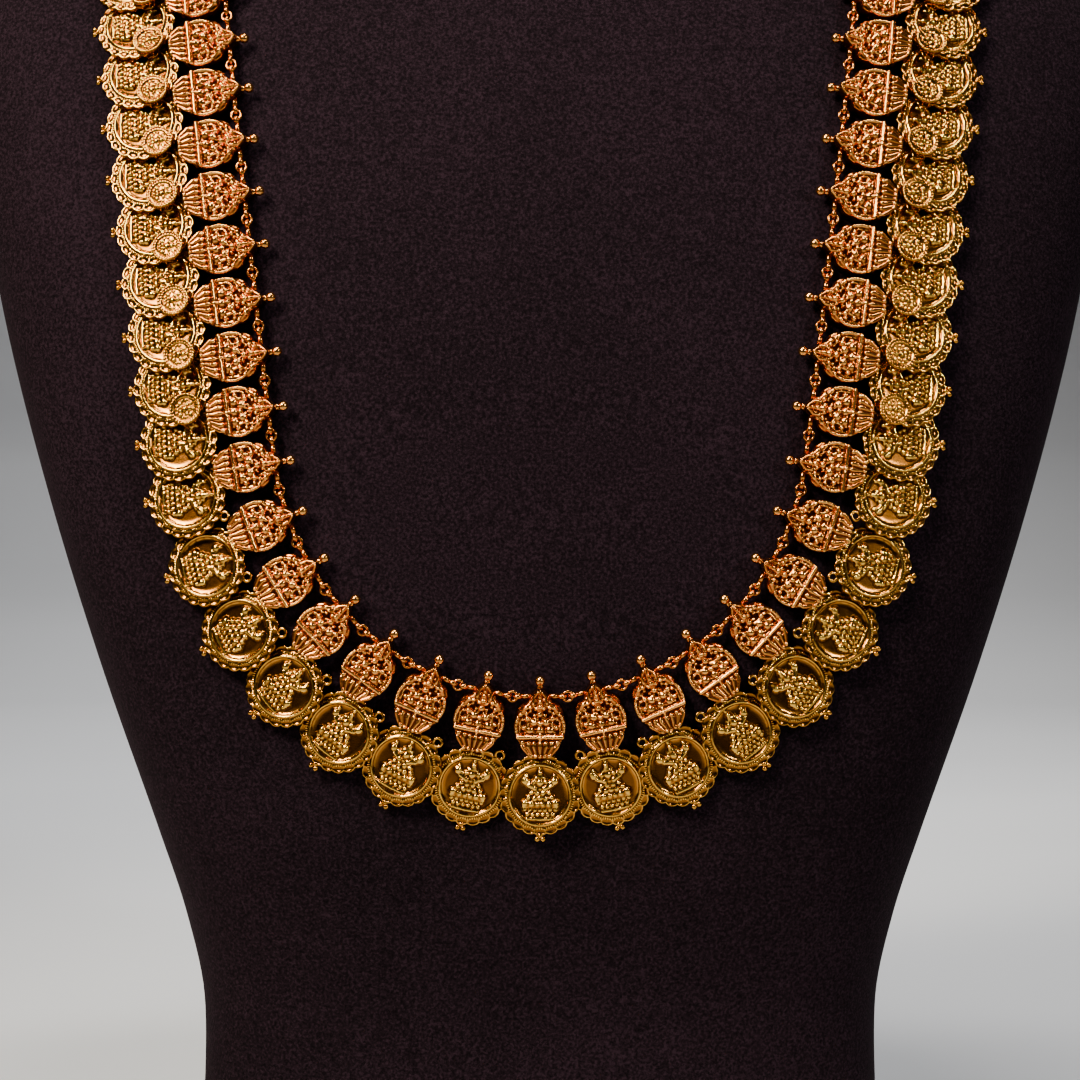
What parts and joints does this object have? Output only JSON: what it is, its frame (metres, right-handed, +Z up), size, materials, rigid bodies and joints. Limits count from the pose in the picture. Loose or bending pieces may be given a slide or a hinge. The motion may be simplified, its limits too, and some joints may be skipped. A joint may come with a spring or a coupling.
{
  "type": "temple jewellery necklace on a neck bust",
  "caption": "Long coin-type temple jewellery necklace with cast deity links and scalloped coins, closed by a chain and hook at the nape, on a plain suede-covered neck bust that holds it.",
  "frame": {"origin": "centre of the whole box at the underside of the bust's foot", "axes": "+Z up, the front of the necklace faces -Y, +X is to the viewer's right"},
  "size_m": [0.2738, 0.1098, 0.4],
  "materials": {
    "suede": "matt dark suede",
    "antique_gold": "polished antique gold with dark recesses",
    "coin_gold": "polished yellow gold"
  },
  "bodies": {
    "root": {"neck_bust": "suede", "centre_deity_link": "antique_gold", "deity_links_left": "antique_gold", "deity_links_right": "antique_gold", "link_rings": "antique_gold", "centre_coin": "coin_gold", "coins_left": "coin_gold", "coins_right": "coin_gold", "small_coins_left": "coin_gold", "small_coins_right": "coin_gold", "back_chain": "antique_gold", "hook_clasp": "antique_gold"}
  },
  "joints": []
}
